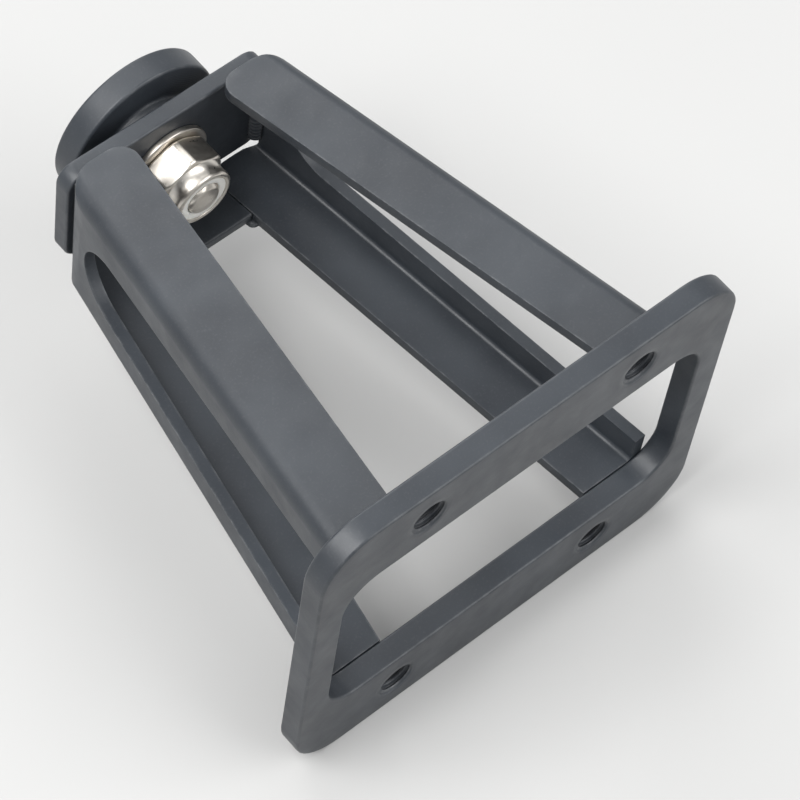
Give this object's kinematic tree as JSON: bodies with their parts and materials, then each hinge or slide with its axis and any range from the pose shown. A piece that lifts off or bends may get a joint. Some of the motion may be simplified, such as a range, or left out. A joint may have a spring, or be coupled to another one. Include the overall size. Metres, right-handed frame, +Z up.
{
  "type": "spare tire carrier",
  "caption": "Welded steel tower on a slotted base frame that holds a spare wheel off a truck body, with a clamp screw.",
  "frame": {"origin": "middle of the base plate's mounting face", "axes": "+X right and +Z up as the carrier sits on an upright tailgate; the tower points along -Y, away from the body it is bolted to"},
  "size_m": [0.0384, 0.0447, 0.0316],
  "materials": {
    "black_coat": "satin black powder coat with a fine orange peel",
    "plated_steel": "nickel plated, warm and slightly dulled",
    "nylon": "off-white nylon"
  },
  "bodies": {
    "frame": {"base_plate": "black_coat", "left_channel": "black_coat", "right_channel": "black_coat", "rear_rail": "black_coat", "top_bridge": "black_coat", "wheel_seat": "black_coat", "left_foot_welds": "black_coat", "right_foot_welds": "black_coat", "rail_welds": "black_coat", "bridge_welds": "black_coat", "seat_weld": "black_coat", "nut_washer": "plated_steel", "lock_nut": "plated_steel", "nut_insert": "nylon"},
    "clamp_washer": {"wheel_washer": "plated_steel"},
    "clamp_screw": {"wheel_screw": "plated_steel"}
  },
  "joints": [
    {"name": "screw_travel", "type": "slide", "parent": "frame", "child": "clamp_washer", "axis": [0, -1, 0], "range_m": [0, 0.0036]},
    {"name": "screw_turn", "type": "hinge", "parent": "clamp_washer", "child": "clamp_screw", "pos_m": [0, -0.043, 0], "axis": [0, -1, 0], "range_deg": [0, 2592]}
  ],
  "couplings": [
    {"joint": "screw_turn", "follows": "screw_travel", "rad_per_m": 12566}
  ]
}
